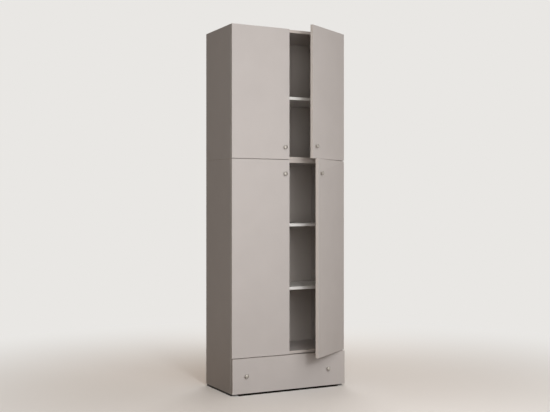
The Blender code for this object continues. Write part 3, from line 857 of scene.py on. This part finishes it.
# Carcass rails and their rollers
# A rolled steel channel, powder-coated white, is screwed to each side of the drawer bay. A
# moulded nylon roller turns on a riveted stub at its front end and carries the drawer's rail.

RAIL_ROUND = 0.25 * MM
RAIL_SCREW_RADIUS = 3.5 * MM
RAIL_SCREW_HEIGHT = 1.0 * MM
RAIL_SCREWS_FROM_FRONT = (60 * MM, 156 * MM, 284 * MM)
RAIL_HOLES_FROM_FRONT = 92 * MM
RAIL_HOLE_PITCH = 32 * MM
RAIL_HOLE_COUNT = 2
RAIL_HOLE_RADIUS = 2.3 * MM
RAIL_WEB = 1.2 * MM
LATHE_SIDES = 40
SMOOTH_ANGLE = math.radians(35)
ROLLER_BORE = 2.75 * MM
ROLLER_HUB = 1.4 * MM
ROLLER_RIM = 1.8 * MM
ROLLER_DISH = 0.8 * MM
ROLLER_CROWN = 0.6 * MM


def powder_coat(name, pale, deep):
    """Baked powder on steel: a glossy coat with a soft orange-peel ripple.

    The real ripple is about 1 mm wide. It is drawn at 2 mm so that it shows.
    """
    material, tree, place = new_finish(name)
    coat, _ = mottled(tree, place, pale, deep, patch=40 * MM, detail=2.0)
    ripple, _ = grained(tree, place, grain=2 * MM, detail=1.0, strength=0.3, depth=0.08 * MM)
    return surfaced(material, Base_Color=coat, Roughness=0.3, Normal=ripple)


def smoothed(mesh):
    """Mesh shaded smooth, apart from its sharp edges."""
    mesh.shade_smooth()
    mesh.set_sharp_from_angle(angle=SMOOTH_ANGLE)
    return mesh


def lathe(profile, sides):
    """Shape turned about X from points of X and radius, which start and end together or on X."""
    shape = bmesh.new()
    points = [shape.verts.new((x, 0.0, radius)) for x, radius in profile]
    lines = [shape.edges.new(pair) for pair in zip(points, points[1:])]
    bmesh.ops.spin(
        shape,
        geom=points + lines,
        axis=(1.0, 0.0, 0.0),
        angle=2 * math.pi,
        steps=sides,
        use_merge=True,
    )
    bmesh.ops.remove_doubles(shape, verts=shape.verts, dist=JOIN_DISTANCE)
    bmesh.ops.recalc_face_normals(shape, faces=shape.faces)
    return smoothed(written(shape, bpy.data.meshes.new("lathe")))


def placed(mesh, matrix):
    """Copy of a mesh, moved, its faces kept outwards if the matrix mirrors it."""
    copy = mesh.copy()
    copy.transform(matrix)
    if matrix.determinant() < 0:
        copy.flip_normals()
    return copy


def roller_profile(radius, width):
    """Half outline of a roller: rounded tread, dished faces and a hub round its bore."""
    half = width / 2
    dished = half - ROLLER_DISH
    hub = ROLLER_BORE + ROLLER_HUB
    rim = radius - ROLLER_RIM
    shoulder = radius - ROLLER_CROWN
    return (
        (-half, ROLLER_BORE),
        (-half, hub),
        (-dished, hub),
        (-dished, rim),
        (-half, rim),
        (-half, shoulder),
        (ROLLER_CROWN - half, radius),
        (half - ROLLER_CROWN, radius),
        (half, shoulder),
        (half, rim),
        (dished, rim),
        (dished, hub),
        (half, hub),
        (half, ROLLER_BORE),
        (-half, ROLLER_BORE),
    )


WHITE_POWDER = powder_coat("white_powder_coat", "#EDECE8", "#E4E3DF")
WHITE_NYLON = moulded("white_nylon", "#E9E7E0", "#DDDBD3", 0.4)

for side, hand in HANDS.items():
    node = f"{side}_carcass_rail"
    low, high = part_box(node)
    web = (high.x if hand > 0 else low.x) - hand * RAIL_WEB
    level = (low.z + high.z) / 2
    rail = drilled(
        dress(rounded(solid_copy(node), RAIL_ROUND), WHITE_POWDER),
        [(web, low.y + RAIL_HOLES_FROM_FRONT, level)],
        Count=RAIL_HOLE_COUNT,
        Step=(0.0, RAIL_HOLE_PITCH, 0.0),
        Radius=RAIL_HOLE_RADIUS,
        Depth=4 * RAIL_WEB,
        Facing=(1.0, 0.0, 0.0),
        Finish=WHITE_POWDER,
    )
    finished(f"{node}_channel", rail, "carcass", "coated_steel", node)
    points = [(web, low.y + distance, level) for distance in RAIL_SCREWS_FROM_FRONT]
    screws = screw_heads(points, (-hand, 0, 0), RAIL_SCREW_RADIUS, RAIL_SCREW_HEIGHT)
    finished(f"{node}_screws", screws, "carcass", "nickel_steel")
    for end in ("front", "rear"):
        roller = f"{side}_{end}_roller"
        low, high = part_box(roller)
        profile = roller_profile((high.z - low.z) / 2, high.x - low.x)
        wheel = placed(lathe(profile, LATHE_SIDES), Matrix.Translation((low + high) / 2))
        finished(f"{roller}_wheel", dress(wheel, WHITE_NYLON), roller, "white_plastic", roller)


# Drawer
# The drawer is a box of 12 mm melamine-faced boards round a hardboard bottom that slides in a
# groove. Its front is a 16 mm board, edged all round. Rolled rails are screwed under its sides.

LIP_SCREW_RADIUS = 3.2 * MM
LIP_SCREW_HEIGHT = 0.9 * MM
LIP_SCREWS_FROM_FRONT = (40 * MM, 150 * MM, 260 * MM)
LIP_SCREW_INSET = 4.5 * MM
BOX_SCREW_RADIUS = 3.4 * MM
BOX_SCREW_HEIGHT = 0.5 * MM
BOX_SCREWS_ABOVE_BASE = (50 * MM, 95 * MM)
CAM_RADIUS = 7 * MM
CAM_HEIGHT = 0.4 * MM
CAM_TAPER = 0.95
CAM_FROM_FRONT = 24 * MM
CAMS_ABOVE_BASE = (32 * MM, 82 * MM)

FRONT_EDGES = {looks: GREIGE_EDGING for looks in ("-X", "+X", "-Z", "+Z")}
finished(
    "drawer_front_panel",
    dress(solid_copy("drawer_front"), GREIGE_MELAMINE, FRONT_EDGES),
    "drawer",
    "greige_melamine",
    "drawer_front",
)
for node in ("drawer_left_side", "drawer_right_side", "drawer_back"):
    ends = {"+Z": GREIGE_EDGING, "-Z": RAW_CHIPBOARD}
    panel = dress(rounded(solid_copy(node), ARRIS), GREIGE_MELAMINE, ends)
    finished(f"{node}_panel", panel, "drawer", "greige_melamine", node)
back_low, back_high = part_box("drawer_back")
for side, hand in HANDS.items():
    low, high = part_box(f"drawer_{side}_side")
    outside, inside = (high.x, low.x) if hand > 0 else (low.x, high.x)
    points = [(outside, (back_low.y + back_high.y) / 2, low.z + up) for up in BOX_SCREWS_ABOVE_BASE]
    screws = screw_heads(points, (hand, 0, 0), BOX_SCREW_RADIUS, BOX_SCREW_HEIGHT)
    finished(f"drawer_{side}_side_screws", screws, "drawer", "nickel_steel")
    points = [(inside, low.y + CAM_FROM_FRONT, low.z + up) for up in CAMS_ABOVE_BASE]
    cams = screw_heads(points, (-hand, 0, 0), CAM_RADIUS, CAM_HEIGHT, CAM_TAPER)
    finished(f"drawer_{side}_side_cams", cams, "drawer", "nickel_steel")
low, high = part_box("drawer_bottom")
bottom = dress(box_mesh(low, high), RAW_HARDBOARD, {"+Z": LACQUERED_BACK})
finished("drawer_bottom_sheet", bottom, "drawer", "hardboard", "drawer_bottom")
for side, hand in HANDS.items():
    node = f"{side}_drawer_rail"
    low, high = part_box(node)
    rail = dress(rounded(solid_copy(node), RAIL_ROUND), WHITE_POWDER)
    finished(f"{node}_section", rail, "drawer", "coated_steel", node)
    lip_x = (low.x if hand > 0 else high.x) + hand * LIP_SCREW_INSET
    points = [(lip_x, low.y + distance, low.z) for distance in LIP_SCREWS_FROM_FRONT]
    screws = screw_heads(points, (0, 0, -1), LIP_SCREW_RADIUS, LIP_SCREW_HEIGHT)
    finished(f"{node}_screws", screws, "drawer", "nickel_steel")


# Doors
# Four doors of 16 mm greige melamine-faced chipboard, edged all round with rounded corners, lie
# over the front edges of the boxes. Their backs are bored for the hinge cups. Soft stick-on dots
# at the free corners quieten their closing.

DOT_RADIUS = 4 * MM
DOT_HEIGHT = 1.8 * MM
DOT_TAPER = 0.75
DOT_FROM_SIDE = 24 * MM
DOT_FROM_END = 8 * MM


def door_turn(door):
    """Turn about the hinge axis that takes a shut door to where it rests."""
    swing = next(joint for joint in frame["joints"] if joint["child"] == door)
    axis = Vector(swing["pos_m"])
    turn = Matrix.Rotation(math.radians(-swing["range_deg"][0]), 4, Vector(swing["axis"]))
    return Matrix.Translation(axis) @ turn @ Matrix.Translation(-axis)


def shut_box(node):
    """Corners of a door, or of a piece on it, when shut.

    The left doors rest shut, and the right ones mirror them.
    """
    low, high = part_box(node.replace("right", "left"))
    if "right" in node:
        low.x, high.x = -high.x, -low.x
    return low, high


SOFT_PVC = moulded("soft_white_pvc", "#DCDAD5", "#CFCDC8", 0.3)

for door in DOORS:
    turn = door_turn(door)
    shut = placed(solid_copy(door), turn.inverted())
    panel = placed(dress(shut, GREIGE_MELAMINE, FRONT_EDGES), turn)
    finished(f"{door}_panel", panel, door, "greige_melamine", door)
    low, high = shut_box(door)
    free_x = high.x - DOT_FROM_SIDE if "left" in door else low.x + DOT_FROM_SIDE
    ends = [high.z - DOT_FROM_END]
    if door.startswith("upper"):
        ends.insert(0, low.z + DOT_FROM_END)
    points = [(free_x, high.y, z) for z in ends]
    dots = heads(PLAIN_HEADS, points, (0, 1, 0), DOT_RADIUS, DOT_HEIGHT, SOFT_PVC, DOT_TAPER)
    finished(f"{door}_dots", placed(dots, turn), door, "white_plastic")


# Hinge cups
# Each cup is deep-drawn from nickel-plated steel, pressed into its bore in the door's back and
# held by two screws through its ears. A pin across its mouth carries the hinge arm.

EAR_SCREW_RADIUS = 3.4 * MM
EAR_SCREW_HEIGHT = 1.0 * MM
EAR_SCREW_FROM_TIP = 4.6 * MM

for door in DOORS:
    turn = door_turn(door)
    cups = []
    ear_points = []
    for node in hinge_nodes(door, "cup"):
        cups.append(solid_copy(node))
        low, high = shut_box(node)
        for ear_z in (low.z + EAR_SCREW_FROM_TIP, high.z - EAR_SCREW_FROM_TIP):
            ear_points.append(((low.x + high.x) / 2, high.y, ear_z))
    cup_mesh = smoothed(dress(joined(cups), NICKEL_STEEL))
    finished(f"{door}_hinge_cups", cup_mesh, door, "nickel_steel", *hinge_nodes(door, "cup"))
    screws = screw_heads(ear_points, (0, 1, 0), EAR_SCREW_RADIUS, EAR_SCREW_HEIGHT)
    finished(f"{door}_cup_screws", placed(screws, turn), door, "nickel_steel")


# Knobs
# Six small round knobs, turned from metal and plated in satin nickel. The face is a shallow
# dome, a cove runs down to the neck, and a screw from behind the board holds each one.

KNOB_RADIUS = 11 * MM
KNOB_REACH = 19.5 * MM
KNOB_DOME_RADIUS = 20 * MM
KNOB_RIM_RADIUS = 2 * MM
KNOB_COVE_RADIUS = 3.5 * MM
KNOB_NECK_RADIUS = 4.5 * MM
KNOB_FOOT_RADIUS = 7 * MM
KNOB_FOOT = 1.5 * MM
KNOB_SEAT = 0.3 * MM
KNOB_SCREW_RADIUS = 4 * MM
KNOB_SCREW_HEIGHT = 1.8 * MM
KNOB_SIDES = 48
ARC_STEPS = 8


def satin_nickel():
    """Turned brass under satin nickel: warm grey metal with fine rings left by the lathe tool.

    Real rings are about 0.1 mm apart. They are drawn at 0.8 mm so that they show.
    """
    material, tree, place = new_finish("satin_nickel")
    reach = add_node(tree, "ShaderNodeAttribute", attribute_name="turned_radius")
    angle = {0: reach.outputs["Fac"], 1: 2 * math.pi / (0.8 * MM)}
    rings = add_node(tree, "ShaderNodeMath", angle, operation="MULTIPLY")
    wave = add_node(tree, "ShaderNodeMath", {0: rings.outputs["Value"]}, operation="SINE")
    metal, _ = mottled(tree, place, "#B6B1AA", "#A09B94", patch=6 * MM, detail=3.0)
    turned = {"Height": wave.outputs["Value"], "Strength": 0.12, "Distance": 0.02 * MM}
    relief = add_node(tree, "ShaderNodeBump", turned).outputs["Normal"]
    return surfaced(material, Base_Color=metal, Metallic=1.0, Roughness=0.66, Normal=relief)


def arc(centre, radius, start, end):
    """Points of X and radius on an arc after its start, by angles counted from straight forward."""
    turn = (end - start) / ARC_STEPS
    points = []
    for step in range(1, ARC_STEPS + 1):
        angle = start + turn * step
        points.append((centre[0] + radius * math.cos(angle), centre[1] + radius * math.sin(angle)))
    return points


def knob_mesh():
    """Knob turned about X, standing on the plane where X is zero."""
    dome_x = KNOB_REACH - KNOB_DOME_RADIUS
    rim = KNOB_RADIUS - KNOB_RIM_RADIUS
    dome_end = math.asin(rim / (KNOB_DOME_RADIUS - KNOB_RIM_RADIUS))
    rim_x = dome_x + (KNOB_DOME_RADIUS - KNOB_RIM_RADIUS) * math.cos(dome_end)
    cove = KNOB_NECK_RADIUS + KNOB_COVE_RADIUS
    rim_end = math.pi + math.asin((rim - cove) / (KNOB_RIM_RADIUS + KNOB_COVE_RADIUS))
    cove_x = rim_x + (KNOB_RIM_RADIUS + KNOB_COVE_RADIUS) * math.cos(rim_end)
    profile = (
        (KNOB_REACH, 0.0),
        *arc((dome_x, 0.0), KNOB_DOME_RADIUS, 0.0, dome_end),
        *arc((rim_x, rim), KNOB_RIM_RADIUS, dome_end, rim_end),
        *arc((cove_x, cove), KNOB_COVE_RADIUS, rim_end - math.pi, -math.pi / 2),
        (KNOB_FOOT, KNOB_NECK_RADIUS),
        (KNOB_FOOT, KNOB_FOOT_RADIUS - ARRIS),
        (KNOB_FOOT - ARRIS, KNOB_FOOT_RADIUS),
        (KNOB_SEAT, KNOB_FOOT_RADIUS),
        (KNOB_SEAT, 0.0),
    )
    mesh = lathe(profile, KNOB_SIDES)
    reach = mesh.attributes.new("turned_radius", "FLOAT", "POINT")
    for vertex, value in zip(mesh.vertices, reach.data):
        value.value = math.hypot(vertex.co.y, vertex.co.z)
    return mesh


SATIN_NICKEL = satin_nickel()
KNOB = dress(knob_mesh(), SATIN_NICKEL)

knob_bodies = {f"{door}_knob": door for door in DOORS}
knob_bodies.update({f"drawer_{side}_knob": "drawer" for side in HANDS})
for node, body in knob_bodies.items():
    if body == "drawer":
        turn = Matrix.Identity(4)
        low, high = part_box(node)
        board_low, board_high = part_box("drawer_front")
    else:
        turn = door_turn(body)
        low, high = shut_box(node)
        board_low, board_high = shut_box(body)
    x = (low.x + high.x) / 2
    z = (low.z + high.z) / 2
    stand = Matrix.Translation((x, board_low.y, z)) @ Matrix.Rotation(-math.pi / 2, 4, "Z")
    finished(f"{node}_turned", placed(KNOB, turn @ stand), body, "satin_metal", node)
    behind = [(x, board_high.y, z)]
    screw = screw_heads(behind, (0, 1, 0), KNOB_SCREW_RADIUS, KNOB_SCREW_HEIGHT)
    finished(f"{node}_screw", placed(screw, turn), body, "nickel_steel")


# Floor, light and camera
# A plain pale floor under a pale sky, with a broad soft lamp and a small one in front, another
# behind, and faint glows from above and behind. The floor is painted dark under the carcass and
# the shut drawer, a painted shade that keeps the gap at the foot dark where the low lamps would
# light it. The camera has the photograph's place and angle.

FLOOR_SIZE = 40.0
FLOOR_PAINT = ("#F6F5F4", "#F1F0EF")
# Colours of the painted shade on the floor under the cabinet, where little light would reach.
PAINTED_SHADE_COLOURS = ("#3B3733", "#35312D")
# Floor cells painted dark as shade, by column and row: one under the shut drawer, three under
# the carcass.
PAINTED_SHADE_CELLS = {(2, 1), (1, 2), (2, 2), (3, 2)}
# How far inside the drawer's sides the painted shade under the shut drawer stops.
PAINTED_SHADE_INSET = 10 * MM
FLOOR_BOUNCE = "#7C6E5F"
SKY_COLOUR = "#E9E7E4"
FLOOR_FADE = (0.5, 3.0)
GLOW_COLOUR = "#FFE6CC"
AMBIENT = 0.03
# Each glow's direction, strength and focus.
GLOWS = {
    "rear": ((0.6, 0.8, 0.2), 0.2, 1.0),
    "top": ((0.0, 0.0, 1.0), 0.6, 4.0),
}
# Each lamp's place, target, width in metres and power in watts.
LAMPS = {
    "small_lamp": ((-0.66, -3.57, 1.5), (0.0, -0.07, 1.3), 0.6, 34.0),
    "broad_lamp": ((-0.45, -3.05, 1.68), (0.0, -0.07, 1.3), 2.8, 66.0),
    "rear_lamp": ((1.6, 2.9, 1.9), (0.0, 0.27, 1.1), 2.0, 50.0),
}
CAMERA_PLACE = (-2.371, -4.516, 1.0189)
CAMERA_TURN = math.radians(-27.19)
FOCAL_LENGTH = 59.69
SENSOR_WIDTH = 36.0


def seen_ray(tree):
    """One for the rays that show a surface to the eye, straight, mirrored or through glass."""
    path = add_node(tree, "ShaderNodeLightPath").outputs
    seen = path["Is Camera Ray"]
    for ray in ("Is Glossy Ray", "Is Transmission Ray"):
        either = add_node(tree, "ShaderNodeMath", {0: seen, 1: path[ray]}, operation="MAXIMUM")
        seen = either.outputs["Value"]
    return seen


def floor_finish(name, pale, deep):
    """Matt painted studio floor: plain, with a barely visible cloud, lost in the sky far off."""
    material, tree, place = new_finish(name)
    paint, _ = mottled(tree, place, pale, deep, patch=900 * MM, detail=3.0)
    seen = seen_ray(tree)
    colours = {0: seen, MIX_FIRST: srgb(FLOOR_BOUNCE), MIX_SECOND: paint}
    mix = add_node(tree, "ShaderNodeMix", colours, data_type="RGBA")
    matt = add_node(tree, "ShaderNodeBsdfDiffuse", {"Color": mix.outputs[MIX_COLOUR]})
    haze = add_node(tree, "ShaderNodeEmission", {"Color": srgb(SKY_COLOUR)})
    away = add_node(tree, "ShaderNodeVectorMath", {0: place}, operation="LENGTH")
    fade = add_node(
        tree,
        "ShaderNodeMapRange",
        {"Value": away.outputs["Value"], "From Min": FLOOR_FADE[0], "From Max": FLOOR_FADE[1]},
        interpolation_type="SMOOTHSTEP",
    )
    factors = {0: fade.outputs["Result"], 1: seen}
    share = add_node(tree, "ShaderNodeMath", factors, operation="MULTIPLY")
    both = add_node(
        tree,
        "ShaderNodeMixShader",
        {"Fac": share.outputs["Value"], 1: matt.outputs["BSDF"], 2: haze.outputs["Emission"]},
    )
    add_node(tree, "ShaderNodeOutputMaterial", {"Surface": both.outputs["Shader"]})
    return material


floor_mesh = bpy.data.meshes.new("floor")
half = FLOOR_SIZE / 2
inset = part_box("drawer_right_side")[1].x - PAINTED_SHADE_INSET
columns = (-half, -HALF_WIDTH, -inset, inset, HALF_WIDTH, half)
fronts = [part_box(node)[0].y for node in ("drawer_front", "lower_left_side")]
rows = (-half, *fronts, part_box("lower_back")[1].y, half)
cells = [(column, row) for row in range(len(rows) - 1) for column in range(len(columns) - 1)]
faces = []
for column, row in cells:
    corner = row * len(columns) + column
    beyond = corner + len(columns)
    faces.append((corner, corner + 1, beyond + 1, beyond))
floor_mesh.from_pydata([(x, y, 0.0) for y in rows for x in columns], [], faces)
floor_mesh.materials.append(floor_finish("studio_floor", *FLOOR_PAINT))
# The second finish is painted shade: the floor is darkened under the carcass and the shut drawer.
floor_mesh.materials.append(floor_finish("dark_underlay", *PAINTED_SHADE_COLOURS))
for face, cell in zip(floor_mesh.polygons, cells):
    face.material_index = int(cell in PAINTED_SHADE_CELLS)
floor = new_object("floor", floor_mesh)

world = bpy.data.worlds.new("studio")
world.use_nodes = True
sky_tree = world.node_tree
sky_tree.nodes.clear()
towards = add_node(sky_tree, "ShaderNodeTexCoord").outputs["Generated"]
level = AMBIENT
for direction, strength, focus in GLOWS.values():
    facing = {0: towards, 1: direction}
    step = add_node(sky_tree, "ShaderNodeVectorMath", facing, operation="DOT_PRODUCT")
    for operation, value in (("MAXIMUM", 0.0), ("POWER", focus)):
        share = {0: step.outputs["Value"], 1: value}
        step = add_node(sky_tree, "ShaderNodeMath", share, operation=operation)
    total = {0: step.outputs["Value"], 1: strength, 2: level}
    level = add_node(sky_tree, "ShaderNodeMath", total, operation="MULTIPLY_ADD").outputs["Value"]
fill = add_node(sky_tree, "ShaderNodeBackground", {"Color": srgb(GLOW_COLOUR), "Strength": level})
sky = add_node(sky_tree, "ShaderNodeBackground", {"Color": srgb(SKY_COLOUR), "Strength": 1.0})
both = add_node(
    sky_tree,
    "ShaderNodeMixShader",
    {"Fac": seen_ray(sky_tree), 1: fill.outputs["Background"], 2: sky.outputs["Background"]},
)
add_node(sky_tree, "ShaderNodeOutputWorld", {"Surface": both.outputs["Shader"]})
bpy.context.scene.world = world

for name, (place, target, width, power) in LAMPS.items():
    light = bpy.data.lights.new(name, "AREA")
    light.energy = power
    light.size = width
    lamp = new_object(name, light)
    lamp.location = place
    aim = Vector(target) - lamp.location
    lamp.rotation_euler = aim.to_track_quat("-Z", "Y").to_euler()

lens = bpy.data.cameras.new("camera")
lens.lens = FOCAL_LENGTH
lens.sensor_width = SENSOR_WIDTH
camera = new_object("camera", lens)
camera.location = CAMERA_PLACE
camera.rotation_euler = (math.pi / 2, 0.0, CAMERA_TURN)
bpy.context.scene.camera = camera
bpy.context.scene.view_settings.view_transform = "Standard"
